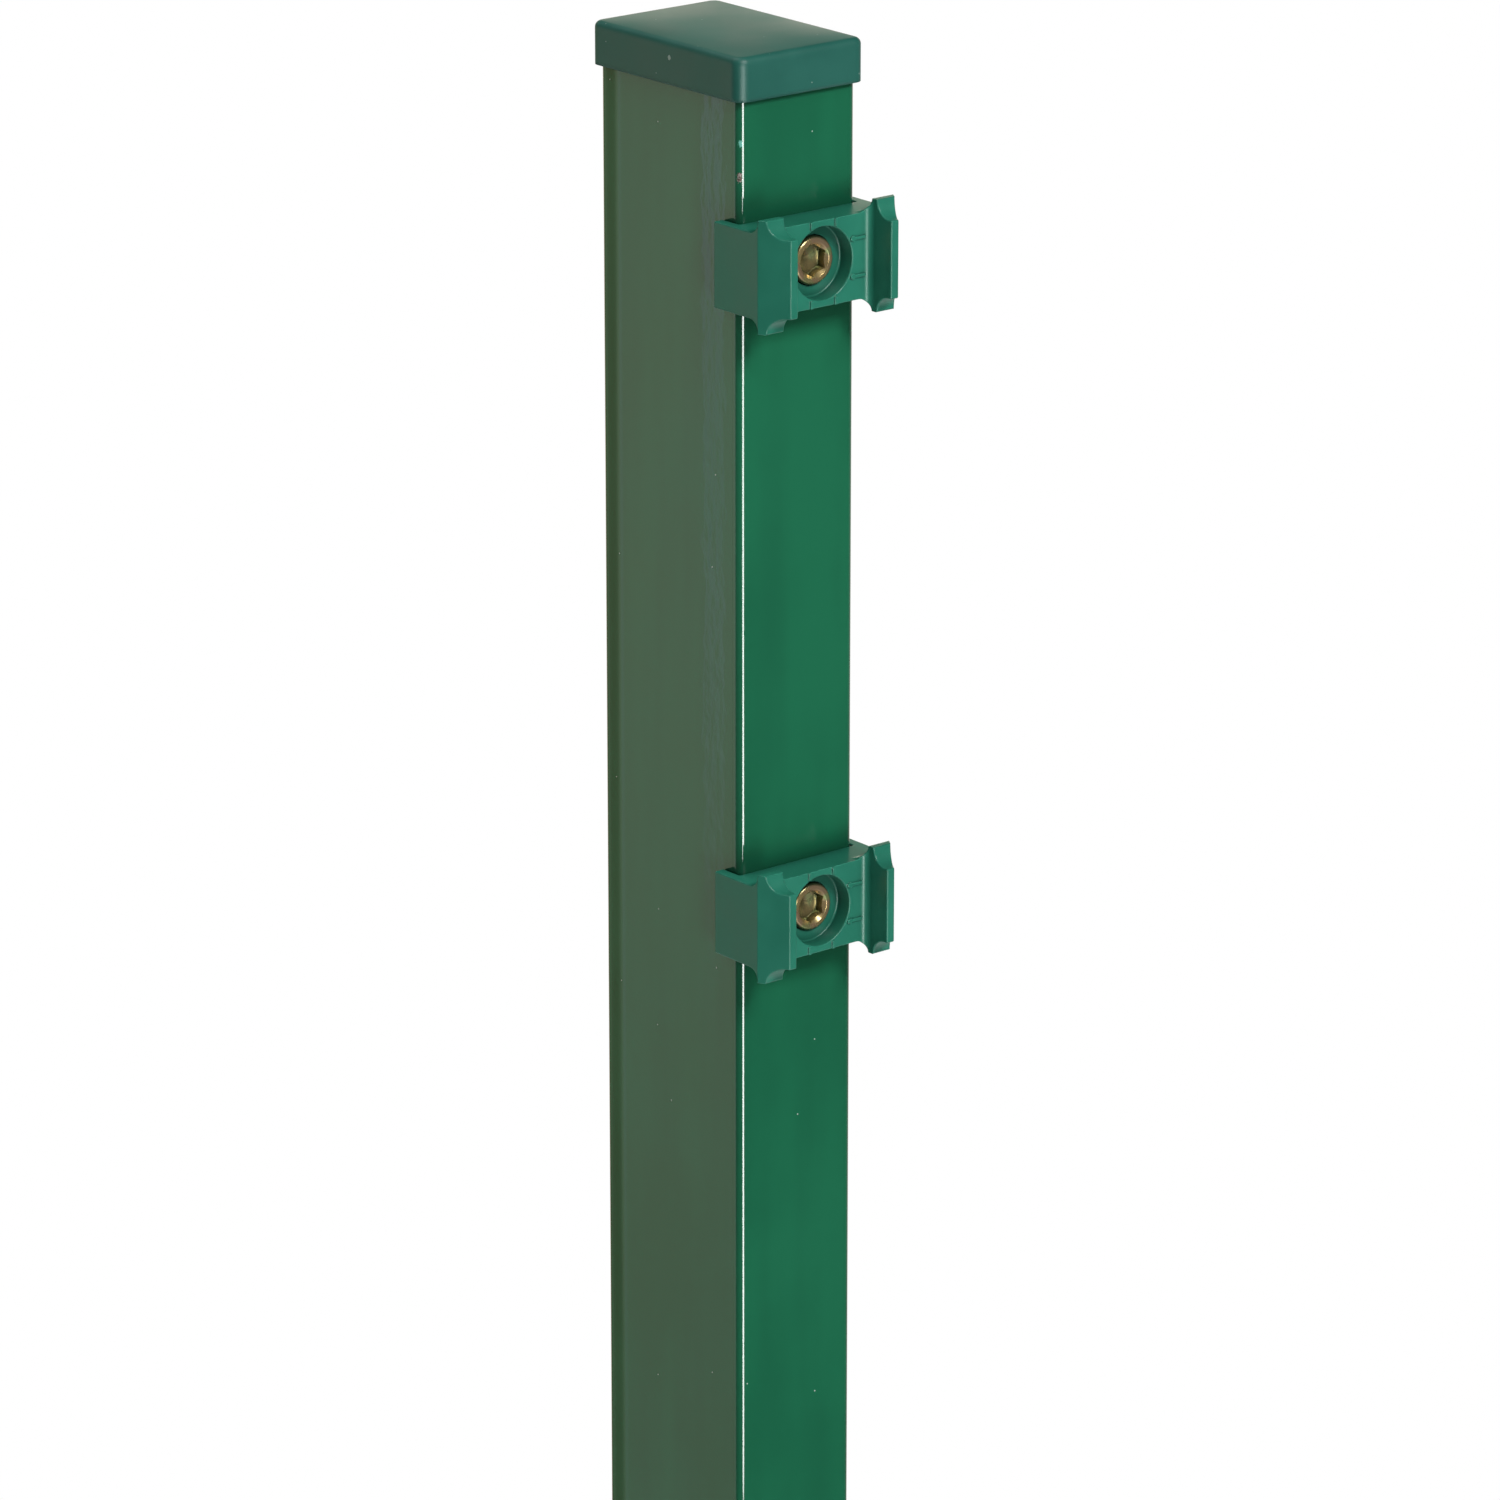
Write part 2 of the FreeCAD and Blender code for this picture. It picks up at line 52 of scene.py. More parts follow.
# The chip and the bruise on the coating's near upright corner, and the nick in the cap's skirt:
# the point, the half sizes, and how ragged the outline is. The chip also has a depth and a share
# of bare metal, and worn places are rougher.
CHIP = ((-0.0196, -0.0292, 1.0692), (0.0008, 0.0008, 0.0013), 2.2)
BRUISE = ((-0.0192, -0.0294, 1.0783), (0.0006, 0.0006, 0.001), 2.2)
NICK = ((-0.0218, -0.0025, 1.0972), (0.0009, 0.0006, 0.0007), 0.9)
CHIP_DEPTH = 0.0001
CHIP_METAL = 0.7
WORN_ROUGHNESS = 0.3

# Where the coating ends: how far it reaches in from the tube's outside, and the sawn foot's top.
COAT_REACH = 0.0011
SAWN_TOP = 0.00001

# Bands of the tube's section, in X for a width and in Y for the rest: where the wide sides lean,
# the ridge and the fall beside their far corner, where the flat faces end, and where the gloss
# of the upright corners sets in.
LEAN = (-0.0232, -0.0142)
RIDGE = (0.0204, 0.0224)
FALL = (0.0219, 0.0286)
FLAT_WIDTH = (0.0186, 0.0196)
FLAT_DEPTH = 0.0268
GLOSS_WIDTH = (0.0176, 0.0184)
GLOSS_DEPTH = (0.0276, 0.0284)

# The lean's edge wanders this far, and the lean sets in over these heights. The fall is this
# many times as high as the ridge.
LEAN_DRIFT = 0.005
LEAN_HEIGHTS = (0.8, 1.0)
FALL_TO_RIDGE = 18

# How near a wall has to be for the painted shade on the tube, the mouldings and the bolts, and how open
# a point is where that shade is darkest and where it ends.
TUBE_SHADOW = (0.012, 0.45, 1.0)
MOULD_SHADOW = (0.007, 0.2, 0.85)
BOLT_SHADOW = (0.006, 0.4, 0.85)

# The noise values from none to full of a cloud, and how dark it leaves a plastic.
CLOUD = (0.3, 0.7)
CLOUD_SHADE = 0.85

# The cap's edges are this many times as round as the clips', and its crown falls off by a power.
CAP_EDGES = 5
CROWN_POWER = 3.0

# The clips' rims, found by how far their rounded normal turns from the face's own. They take a painted
# highlight, paler by a gain and a lift and mixed in by a share, and they are smoother.
RIM_TURN = (0.99, 0.8)
RIM_HIGHLIGHT_GAIN = 1.8
RIM_HIGHLIGHT_LIFT = 0.04
RIM_HIGHLIGHT_SHARE = 0.8
RIM_SMOOTH = 0.14

# What the glossy faces mirror, by direction in degrees from +X: dark in front, and a bright
# window on both sides behind.
WALLS = [
    (-180, (0.05, 0.05, 0.045)),
    (-51, (0.04, 0.04, 0.04)),
    (0, (0.25, 0.25, 0.24)),
    (30, (0.62, 0.6, 0.54)),
    (60, (0.9, 0.82, 0.66)),
    (85, (0.45, 0.42, 0.34)),
    (98, (0.2, 0.2, 0.1)),
    (118, (0.4, 0.38, 0.18)),
    (124, (0.88, 0.98, 0.62)),
    (130, (0.96, 1.06, 0.74)),
    (132.5, (1.25, 1.4, 1.3)),
    (138, (1.2, 1.3, 1.2)),
    (146, (0.3, 0.28, 0.26)),
    (156, (0.06, 0.06, 0.05)),
]

# How bright the walls are by the sine of the elevation, as two heights and the gain at each:
# dark from the upper wall to the ceiling, and a little dimmer towards the floor.
UPPER_WALL = (0.04, 0.29, 1.0, 0.04)
LOWER_WALL = (-0.44, -0.26, 0.7, 1.12)

# A bright window above the horizon, which the cap's top mirrors: its side, how closely a
# direction has to match that, and two heights with its extra gain at each.
GLOW_SIDE = (0.62, 0.78, 0.0)
GLOW_MATCH = (0.7, 0.95)
GLOW_RISE = (-0.02, 0.06, 0.0, 2.3)

# The floor fades to white between two shares of its radius, from a first whiteness to the full.
FLOOR_FADE = (0.05, 0.85)
FLOOR_WHITE = (0.3, 1.0)

# Heights that the low lights and the back light are turned to, and the top light's place above
# the tube's end.
LOW_HEIGHT = 0.45
BACK_HEIGHT = 0.6
TOP_PLACE = (-0.2, 0.4, 1.0)


def middle(node):
    """Centre of a CAD node's box."""
    low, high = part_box(node)
    return (Vector(low) + Vector(high)) / 2


class CoatingSettings(bpy.types.PropertyGroup):
    colour: bpy.props.FloatVectorProperty(
        name="Coating colour", description="Powder coat of the tube",
        subtype="COLOR", size=3, min=0, max=1, default=(0.012, 0.142, 0.068))
    deep_colour: bpy.props.FloatVectorProperty(
        name="Thin coat colour", description="Coating where it is drawn thin or cloudy",
        subtype="COLOR", size=3, min=0, max=1, default=(0.010, 0.118, 0.057))
    roughness: bpy.props.FloatProperty(
        name="Roughness", description="Gloss of the cured coat", min=0, max=1, default=0.13)
    peel_scale: bpy.props.FloatProperty(
        name="Orange peel scale", description="Waves in each metre of coating", default=420)
    peel_depth: bpy.props.FloatProperty(
        name="Orange peel depth", description="Height of the fine waves",
        unit="LENGTH", precision=6, default=0.00001)
    wave_depth: bpy.props.FloatProperty(
        name="Long wave depth", description="Height of the slow waves along the tube",
        unit="LENGTH", precision=6, default=0.00006)
    edge_fall: bpy.props.FloatProperty(
        name="Edge fall", description="How far the wide sides fall away beside their far corner",
        unit="LENGTH", precision=6, default=0.0005)
    draw_fall: bpy.props.FloatProperty(
        name="Draw fall", description="Slight lean of the wide sides towards the clips' face",
        unit="LENGTH", precision=6, default=0.00028)
    chip_colour: bpy.props.FloatVectorProperty(
        name="Chip colour", description="Galvanised steel where the coating is chipped",
        subtype="COLOR", size=3, min=0, max=1, default=(0.6, 0.55, 0.5))
    rim_colour: bpy.props.FloatVectorProperty(
        name="Chip rim colour", description="Broken edge of the coating round a chip",
        subtype="COLOR", size=3, min=0, max=1, default=(0.12, 0.07, 0.05))
    bruise_colour: bpy.props.FloatVectorProperty(
        name="Bruise colour", description="Coating that was knocked but not chipped",
        subtype="COLOR", size=3, min=0, max=1, default=(0.16, 0.5, 0.4))
    dust_colour: bpy.props.FloatVectorProperty(
        name="Dust colour", description="Specks in the coating",
        subtype="COLOR", size=3, min=0, max=1, default=(0.55, 0.65, 0.6))
    steel_colour: bpy.props.FloatVectorProperty(
        name="Steel colour", description="Sawn end and galvanised inside of the tube",
        subtype="COLOR", size=3, min=0, max=1, default=(0.5, 0.51, 0.52))


class PlasticSettings(bpy.types.PropertyGroup):
    clip_colour: bpy.props.FloatVectorProperty(
        name="Clip colour", description="Plastic of the clips",
        subtype="COLOR", size=3, min=0, max=1, default=(0.021, 0.192, 0.126))
    cap_colour: bpy.props.FloatVectorProperty(
        name="Cap colour", description="Plastic of the end cap",
        subtype="COLOR", size=3, min=0, max=1, default=(0.014, 0.115, 0.088))
    clip_roughness: bpy.props.FloatProperty(
        name="Clip roughness", description="Gloss of the clips", min=0, max=1, default=0.3)
    cap_roughness: bpy.props.FloatProperty(
        name="Cap roughness", description="Gloss of the cap", min=0, max=1, default=0.4)
    grain_depth: bpy.props.FloatProperty(
        name="Grain depth", description="Height of the mould's fine texture",
        unit="LENGTH", precision=6, default=0.000006)
    edge_round: bpy.props.FloatProperty(
        name="Edge rounding", description="Softness of the moulded edges",
        unit="LENGTH", precision=6, default=0.00035)
    # Painted shade: how dark the clips are painted in their corners and recesses.
    recess_shade: bpy.props.FloatProperty(
        name="Recess shade", description="How dark the clips are in their corners", default=0.36)
    crown: bpy.props.FloatProperty(
        name="Cap crown", description="Swell of the cap's top", unit="LENGTH", precision=6,
        default=0.0011)
    mark_colour: bpy.props.FloatVectorProperty(
        name="Mark colour", description="Nick and dust on the cap",
        subtype="COLOR", size=3, min=0, max=1, default=(0.35, 0.45, 0.4))


class PlatingSettings(bpy.types.PropertyGroup):
    gold: bpy.props.FloatVectorProperty(
        name="Yellow plating", description="Main colour of the yellow zinc",
        subtype="COLOR", size=3, min=0, max=1, default=(0.54, 0.41, 0.18))
    rose: bpy.props.FloatVectorProperty(
        name="Rose bloom", description="Reddish patches of the yellow zinc",
        subtype="COLOR", size=3, min=0, max=1, default=(0.44, 0.3, 0.18))
    leaf: bpy.props.FloatVectorProperty(
        name="Green bloom", description="Greenish patches of the yellow zinc",
        subtype="COLOR", size=3, min=0, max=1, default=(0.36, 0.41, 0.18))
    zinc: bpy.props.FloatVectorProperty(
        name="Bright zinc", description="Plating of the rivet nuts",
        subtype="COLOR", size=3, min=0, max=1, default=(0.62, 0.63, 0.64))
    roughness: bpy.props.FloatProperty(
        name="Roughness", description="Gloss of the plating", min=0, max=1, default=0.25)
    turning_depth: bpy.props.FloatProperty(
        name="Turning marks", description="Height of the rings left by turning",
        unit="LENGTH", precision=6, default=0.0000015)
    thread_depth: bpy.props.FloatProperty(
        name="Thread depth", description="Height of the bolt's thread",
        unit="LENGTH", precision=6, default=0.0004)


class StudioSettings(bpy.types.PropertyGroup):
    azimuth: bpy.props.FloatProperty(
        name="Camera azimuth", description="Turn of the camera to the left of the clips' face",
        subtype="ANGLE", default=math.radians(39.13))
    elevation: bpy.props.FloatProperty(
        name="Camera elevation", description="Height of the camera above the horizon",
        subtype="ANGLE", default=math.radians(18.10))
    distance: bpy.props.FloatProperty(
        name="Camera distance", description="Camera to the point that it looks at",
        unit="LENGTH", default=1.9738)
    aim_drop: bpy.props.FloatProperty(
        name="Aim below the top", description="The point looked at, below the tube's end",
        unit="LENGTH", default=0.2011)
    aim_side: bpy.props.FloatProperty(
        name="Aim to the right", description="The point looked at, right of the post's axis",
        unit="LENGTH", default=0.0061)
    lens: bpy.props.FloatProperty(
        name="Lens", description="Focal length in millimetres on a 36 mm frame", default=171.7)
    floor_radius: bpy.props.FloatProperty(
        name="Floor radius", description="Round floor under the post", unit="LENGTH", default=1.2)
    fill: bpy.props.FloatProperty(
        name="Fill", description="Strength of the light from all round", default=0.11)
    key_power: bpy.props.FloatProperty(
        name="Main light", description="Watts of the large soft light", default=25)
    strip_power: bpy.props.FloatProperty(
        name="Strip light", description="Watts of the tall low light", default=9)
    edge_power: bpy.props.FloatProperty(
        name="Edge light", description="Watts of the light that only shows in the gloss", default=20)
    top_power: bpy.props.FloatProperty(
        name="Top light", description="Watts of the light above the cap", default=4)
    back_power: bpy.props.FloatProperty(
        name="Back light", description="Watts of the light behind, unseen in the gloss", default=20)


def darker(colour, share):
    """A colour at a share of its brightness."""
    return tuple(channel * share for channel in colour)


def new_material(name):
    """A material with one Principled shader, and the helpers that its nodes need."""
    material = bpy.data.materials.new(name)
    material.use_nodes = True
    shader = material.node_tree.nodes["Principled BSDF"]
    return material, Nodes(material.node_tree), shader


class Nodes:
    """Short ways to add and join the nodes of one tree."""

    def __init__(self, tree):
        self.tree = tree

    def add(self, kind, inputs=(), **settings):
        """A node with its settings, and its inputs by name or number."""
        node = self.tree.nodes.new(kind)
        for key, setting in settings.items():
            setattr(node, key, setting)
        for key, given in dict(inputs).items():
            self.join(given, node.inputs[key])
        return node

    def join(self, given, target):
        """Feed an input from another node's socket, or with a number, a vector or a colour."""
        if isinstance(given, bpy.types.NodeSocket):
            self.tree.links.new(given, target)
        elif target.type == "RGBA" and len(given) == 3:
            target.default_value = (*given, 1.0)
        else:
            target.default_value = given

    def math(self, operation, first, second=0.0, clamp=False):
        """The result socket of a Math node."""
        node = self.add("ShaderNodeMath", {0: first, 1: second}, operation=operation, use_clamp=clamp)
        return node.outputs[0]

    def vector(self, operation, first, second=(0, 0, 0)):
        """The outputs of a Vector Math node."""
        return self.add("ShaderNodeVectorMath", {0: first, 1: second}, operation=operation).outputs

    def place(self):
        """Object coordinates."""
        return self.add("ShaderNodeTexCoord").outputs["Object"]

    def facing(self, name):
        """What the Geometry node says under a name."""
        return self.add("ShaderNodeNewGeometry").outputs[name]

    def split(self, vector):
        """A vector's X, Y and Z sockets."""
        return self.add("ShaderNodeSeparateXYZ", {0: vector}).outputs

    def moved(self, vector, location=(0, 0, 0), scale=(1, 1, 1)):
        """A vector taken through a Mapping node."""
        node = self.add("ShaderNodeMapping", {"Vector": vector, "Location": location, "Scale": scale})
        return node.outputs[0]

    def noise(self, vector, scale, detail=2.0):
        """A noise value from 0 to 1, with its scale in waves of each metre."""
        node = self.add("ShaderNodeTexNoise", {"Vector": vector, "Scale": scale, "Detail": detail})
        return node.outputs["Fac"]

    def ranged(self, given, low, high, to_low=0.0, to_high=1.0):
        """A value mapped smoothly from one range to another, held at its ends."""
        node = self.add("ShaderNodeMapRange", {
            0: given, 1: low, 2: high, 3: to_low, 4: to_high}, interpolation_type="SMOOTHSTEP")
        return node.outputs[0]

    def varied(self, cloud, base, less, more):
        """A value that a cloud takes from a little under its base to a little over it."""
        return self.ranged(cloud, *CLOUD, base - less, base + more)

    def cloudy(self, cloud, colour):
        """A colour that a cloud takes down a little."""
        return self.mixed(self.ranged(cloud, *CLOUD), darker(colour, CLOUD_SHADE), colour)

    def mixed(self, factor, first, second):
        """A colour between two others."""
        node = self.add("ShaderNodeMix", {0: factor, 6: first, 7: second}, data_type="RGBA")
        return node.outputs[2]

    def group(self, name, inputs):
        """The outputs of a shared group."""
        return self.add("ShaderNodeGroup", inputs, node_tree=bpy.data.node_groups[name]).outputs

    def length(self, vector):
        """The length of a vector."""
        return self.vector("LENGTH", vector)["Value"]

    def openness(self, distance, darkest, lit):
        """0 in a corner, 1 where no wall is near."""
        node = self.add("ShaderNodeAmbientOcclusion", {"Distance": distance}, samples=8)
        return self.ranged(node.outputs["AO"], darkest, lit)

    def spot(self, place, centre, sizes, ragged):
        """1 inside a ragged oval about a point, 0 outside it."""
        local = self.vector("SUBTRACT", place, centre)[0]
        local = self.vector("DIVIDE", local, sizes)[0]
        rough = self.math("MULTIPLY", self.noise(place, scale=1900.0, detail=3.0), ragged)
        reach = self.math("ADD", self.length(local), rough)
        return self.math("LESS_THAN", reach, 1.0 + ragged / 2)

    def rounded(self, radius):
        """The normal, with the edges rounded."""
        return self.add("ShaderNodeBevel", {"Radius": radius}, samples=6).outputs[0]

    def bump(self, height, distance, normal=None):
        """A bumped normal."""
        node = self.add("ShaderNodeBump", {"Height": height, "Distance": distance, "Strength": 1.0})
        if normal is not None:
            self.join(normal, node.inputs["Normal"])
        return node.outputs[0]


def new_group(name, inputs, outputs):
    """A node group with its sockets: its tree's helper, its inputs and its results."""
    tree = bpy.data.node_groups.new(name, "ShaderNodeTree")
    for direction, sockets in (("INPUT", inputs), ("OUTPUT", outputs)):
        for label, kind in sockets:
            tree.interface.new_socket(label, in_out=direction, socket_type="NodeSocket" + kind)
    n = Nodes(tree)
    return n, n.add("NodeGroupInput").outputs, n.add("NodeGroupOutput").inputs


def make_grain_group():
    """Moulded plastic: rounded edges with a fine grain, a slow cloud, the rims that the clips paint
    with a highlight, and how open it is, which the clips use for painted shade.
    """
    n, given, made = new_group(
        "moulded_grain_and_painted_shade", [("Vector", "Vector"), ("Edge", "Float"), ("Depth", "Float")],
        [("Normal", "Vector"), ("Cloud", "Float"), ("Rim", "Float"), ("Open", "Float")])
    rounded = n.rounded(given["Edge"])
    turned = n.vector("DOT_PRODUCT", rounded, n.facing("Normal"))["Value"]
    n.join(n.ranged(turned, *RIM_TURN), made["Rim"])
    n.join(n.noise(given["Vector"], scale=60.0, detail=3.0), made["Cloud"])
    n.join(n.openness(*MOULD_SHADOW), made["Open"])
    fine = n.noise(given["Vector"], scale=1700.0)
    n.join(n.bump(fine, given["Depth"], rounded), made["Normal"])


def make_speck_group():
    """Scattered round specks: 1 in them, 0 elsewhere."""
    n, given, made = new_group(
        "specks", [("Vector", "Vector"), ("Scale", "Float"), ("Size", "Float"), ("Share", "Float")],
        [("Mask", "Float")])
    facing = n.split(n.vector("ABSOLUTE", n.facing("True Normal"))[0])
    split = n.split(given["Vector"])
    across = n.add("ShaderNodeMix", {0: facing["X"], 2: split["X"], 3: split["Y"]}).outputs[0]
    along = n.add("ShaderNodeMix", {0: facing["Z"], 2: split["Z"], 3: split["Y"]}).outputs[0]
    flat = n.add("ShaderNodeCombineXYZ", {0: across, 1: along}).outputs[0]
    cells = n.add("ShaderNodeTexVoronoi", {"Vector": flat, "Scale": given["Scale"]},
                  voronoi_dimensions="2D")
    chance = n.split(cells.outputs["Color"])["X"]
    chosen = n.math("LESS_THAN", chance, given["Share"])
    reach = n.math("MULTIPLY", given["Size"], given["Scale"])
    near = n.math("LESS_THAN", cells.outputs["Distance"], reach)
    n.join(n.math("MULTIPLY", chosen, near), made["Mask"])


def make_bloom_group():
    """Patches of three colours, as on plated steel."""
    n, given, made = new_group(
        "zinc_bloom", [("Vector", "Vector"), ("Main", "Color"), ("Second", "Color"),
                       ("Third", "Color"), ("Scale", "Float")],
        [("Color", "Color"), ("Frost", "Float")])
    first = n.noise(given["Vector"], given["Scale"])
    second = n.noise(n.moved(given["Vector"], location=(0.05, 0.02, 0.01)), given["Scale"])
    warm = n.mixed(n.ranged(first, 0.42, 0.6), given["Main"], given["Second"])
    n.join(n.mixed(n.ranged(second, 0.5, 0.64), warm, given["Third"]), made["Color"])
    n.join(first, made["Frost"])


def dress(node, material):
    """Give a CAD node its finish."""
    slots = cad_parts[node].data.materials
    slots.clear()
    slots.append(material)


class POST_OT_coat_tube(bpy.types.Operator):
    """Powder coat the tube"""
    bl_idname = "post.coat_tube"
    bl_label = "Coat the tube"

    def execute(self, context):
        look = context.scene.post_coating
        material, n, shader = new_material("powder_coat")
        place = n.place()
        split = n.split(place)
        cloud = n.noise(place, scale=16.0, detail=3.0)
        chip = n.spot(place, *CHIP)
        bare = self.bare_steel(n, split)
        coat = self.coat(n, look, place, cloud, chip)
        n.join(n.mixed(bare, coat, self.steel(n, look, place)), shader.inputs["Base Color"])
        metal = n.math("MAXIMUM", bare, n.math("MULTIPLY", chip, CHIP_METAL))
        n.join(metal, shader.inputs["Metallic"])
        gloss = n.ranged(cloud, 0.35, 0.7, look.roughness - 0.02, look.roughness + 0.04)
        worn = n.math("MULTIPLY", n.math("MAXIMUM", chip, bare), WORN_ROUGHNESS)
        n.join(n.math("ADD", gloss, worn), shader.inputs["Roughness"])
        n.join(self.surface(n, look, place, split, chip), shader.inputs["Normal"])
        n.join(self.corners(n, split), shader.inputs["Coat Weight"])
        dress("post_tube", material)
        return {"FINISHED"}

    def coat(self, n, look, place, cloud, chip):
        """The coating's colour, with painted shade near the clips, and dust, a bruise and a chip."""
        streak = n.noise(n.moved(place, scale=(1, 1, 0.12)), scale=60.0)
        shade = n.ranged(n.math("ADD", cloud, streak), 0.8, 1.25)
        colour = n.mixed(shade, look.deep_colour, look.colour)
        # Painted shade: the coat is painted darker where a wall is near, as above and below the clips.
        colour = n.mixed(n.openness(*TUBE_SHADOW), darker(look.deep_colour, 0.6), colour)
        dust = n.group("specks", {"Vector": place, "Scale": 48.0, "Size": 0.0002, "Share": 0.4})
        colour = n.mixed(dust["Mask"], colour, look.dust_colour)
        colour = n.mixed(n.spot(place, *BRUISE), colour, look.bruise_colour)
        flaked = n.ranged(n.noise(place, scale=2600.0, detail=1.0), 0.4, 0.55)
        return n.mixed(chip, colour, n.mixed(flaked, look.rim_colour, look.chip_colour))

    def steel(self, n, look, place):
        """The colour of the bare steel, brushed across."""
        brushed = n.noise(n.moved(place, scale=(1, 12, 1)), scale=160.0, detail=3.0)
        dull = darker(look.steel_colour, 0.6)
        return n.mixed(n.ranged(brushed, 0.35, 0.65), dull, look.steel_colour)

    def bare_steel(self, n, split):
        """1 on the sawn foot and inside the tube, where no coating reaches."""
        low = n.math("LESS_THAN", split["Z"], SAWN_TOP)
        across = n.math("LESS_THAN", n.math("ABSOLUTE", split["X"]), TUBE_HIGH[0] - COAT_REACH)
        along = n.math("LESS_THAN", n.math("ABSOLUTE", split["Y"]), TUBE_HIGH[1] - COAT_REACH)
        return n.math("MAXIMUM", low, n.math("MULTIPLY", across, along))

    def corners(self, n, split):
        """1 on the upright corners, where the powder has flowed out to a higher gloss."""
        across = n.ranged(n.math("ABSOLUTE", split["X"]), *GLOSS_WIDTH)
        along = n.ranged(n.math("ABSOLUTE", split["Y"]), *GLOSS_DEPTH)
        return n.math("MULTIPLY", across, along)

    def surface(self, n, look, place, split, chip):
        """The lean of the wide sides, their far corner, long waves, orange peel and the chip."""
        drift = n.noise(n.moved(place, scale=(0, 0, 1)), scale=70.0, detail=3.0)
        ragged = n.noise(n.moved(place, scale=(1, 1, 0.5)), scale=320.0)
        shift = n.math("MULTIPLY", n.math("ADD", drift, ragged), LEAN_DRIFT)
        along = n.math("ADD", split["Y"], n.math("SUBTRACT", shift, LEAN_DRIFT))
        lean = n.add("ShaderNodeMapRange", {0: along, 1: LEAN[0], 2: LEAN[1]}).outputs[0]
        lean = n.math("MULTIPLY", lean, n.ranged(split["Z"], *LEAN_HEIGHTS))
        lean = n.bump(lean, look.draw_fall)
        ridge = n.bump(n.ranged(split["Y"], *RIDGE), look.edge_fall / FALL_TO_RIDGE, lean)
        fall = n.bump(n.ranged(split["Y"], *FALL, 1.0, 0.0), look.edge_fall, ridge)
        depth = n.math("ABSOLUTE", split["Y"])
        narrow = n.ranged(n.math("ABSOLUTE", split["X"]), *FLAT_WIDTH, 1.0, 0.0)
        narrow = n.math("MULTIPLY", narrow, n.math("GREATER_THAN", depth, FLAT_DEPTH))
        flat = n.math("MAXIMUM", n.math("LESS_THAN", depth, FLAT_DEPTH), narrow)
        slow = n.noise(n.moved(place, scale=(1, 1, 0.3)), scale=34.0, detail=1.0)
        waves = n.bump(n.math("MULTIPLY", slow, flat), look.wave_depth, fall)
        fine = n.noise(place, look.peel_scale)
        peel = n.bump(n.math("MULTIPLY", fine, flat), look.peel_depth, waves)
        return n.bump(chip, CHIP_DEPTH, peel)


class POST_OT_finish_cap(bpy.types.Operator):
    """Give the end cap its satin plastic"""
    bl_idname = "post.finish_cap"
    bl_label = "Finish the cap"

    def execute(self, context):
        look = context.scene.post_plastic
        material, n, shader = new_material("cap_plastic")
        place = n.place()
        grain = n.group("moulded_grain_and_painted_shade", {
            "Vector": place, "Edge": CAP_EDGES * look.edge_round, "Depth": look.grain_depth})
        colour = n.cloudy(grain["Cloud"], look.cap_colour)
        dust = n.group("specks", {"Vector": place, "Scale": 90.0, "Size": 0.00016, "Share": 0.3})
        marks = n.math("MAXIMUM", n.spot(place, *NICK), dust["Mask"])
        n.join(n.mixed(marks, colour, look.mark_colour), shader.inputs["Base Color"])
        gloss = n.varied(grain["Cloud"], look.cap_roughness, less=0, more=0.06)
        n.join(gloss, shader.inputs["Roughness"])
        crowned = n.bump(self.swell(n, n.split(place)), look.crown, grain["Normal"])
        n.join(crowned, shader.inputs["Normal"])
        dress("post_cap", material)
        return {"FINISHED"}

    def swell(self, n, split):
        """1 in the middle of the cap's top, 0 at its sides."""
        height = 1.0
        for axis, half in (("X", CAP_HIGH[0]), ("Y", CAP_HIGH[1])):
            share = n.math("ABSOLUTE", n.math("DIVIDE", split[axis], half))
            drop = n.math("SUBTRACT", 1.0, n.math("POWER", share, CROWN_POWER))
            height = n.math("MULTIPLY", drop, height)
        return height


class POST_OT_finish_clips(bpy.types.Operator):
    """Give the clips their satin plastic"""
    bl_idname = "post.finish_clips"
    bl_label = "Finish the clips"

    def execute(self, context):
        look = context.scene.post_plastic
        material, n, shader = new_material("clip_plastic")
        grain = n.group("moulded_grain_and_painted_shade", {
            "Vector": n.place(), "Edge": look.edge_round, "Depth": look.grain_depth})
        colour = n.cloudy(grain["Cloud"], look.clip_colour)
        # Painted highlight: the rims are painted paler, as if lit along their edges.
        pale = tuple(min(channel * RIM_HIGHLIGHT_GAIN + RIM_HIGHLIGHT_LIFT, 1) for channel in look.clip_colour)
        colour = n.mixed(n.math("MULTIPLY", grain["Rim"], RIM_HIGHLIGHT_SHARE), colour, pale)
        # Painted shade: the clips are painted darker where a wall is near, in the recess round the bolt
        # and inside the wings.
        colour = n.mixed(grain["Open"], darker(look.clip_colour, look.recess_shade), colour)
        n.join(colour, shader.inputs["Base Color"])
        gloss = n.varied(grain["Cloud"], look.clip_roughness, less=0, more=0.08)
        smooth = n.math("MULTIPLY", grain["Rim"], RIM_SMOOTH)
        n.join(n.math("SUBTRACT", gloss, smooth), shader.inputs["Roughness"])
        shader.inputs["Specular IOR Level"].default_value = 0.38
        n.join(grain["Normal"], shader.inputs["Normal"])
        for name in CLIPS:
            dress(name, material)
        return {"FINISHED"}


